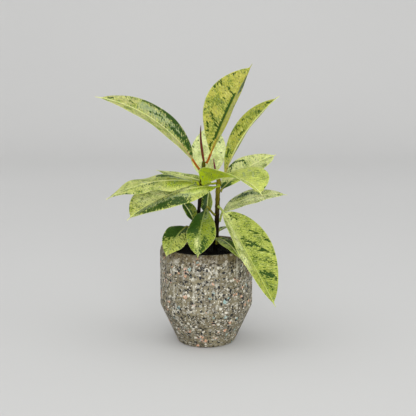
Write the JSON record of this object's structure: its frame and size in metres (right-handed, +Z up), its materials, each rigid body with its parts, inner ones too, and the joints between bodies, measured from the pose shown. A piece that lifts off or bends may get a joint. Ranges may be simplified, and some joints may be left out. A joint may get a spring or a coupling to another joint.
{
  "type": "potted rubber plant",
  "caption": "Young variegated rubber plant: two upright stems with broad pointed leaves in a small round fluted pot of dark soil.",
  "frame": {"origin": "centre of the pot's flat underside", "axes": "+Z up the stems, -Y toward the front, the side that the drooping leaf at the right leans to"},
  "size_m": [0.2702, 0.1573, 0.4023],
  "materials": {
    "pot": "smooth cast terrazzo, grey-brown with small black, white, blue-green and orange chips",
    "soil": "moist dark potting soil",
    "stem": "satin green-brown bark",
    "sheath": "smooth red-brown rolled new leaf",
    "leaf": "smooth leathery leaf, pale yellow-green marbled with dark green"
  },
  "bodies": {
    "root": {"pot": "pot", "soil": "soil", "stem_1": "stem", "stem_2": "stem", "sheath_1": "sheath", "sheath_2": "sheath", "leaf_top_left": "leaf", "leaf_top_middle": "leaf", "leaf_top_right": "leaf", "leaf_back": "leaf", "leaf_left_upper": "leaf", "leaf_left_front": "leaf", "leaf_left_rear": "leaf", "leaf_right_front": "leaf", "leaf_right_rear": "leaf", "leaf_right_lower": "leaf", "leaf_right_drooping": "leaf", "leaf_front_hanging": "leaf", "leaf_rim_left": "leaf", "leaf_rim_right": "leaf", "leaf_inner_left": "leaf", "leaf_inner_middle": "leaf", "leaf_inner_right": "leaf"}
  },
  "joints": []
}
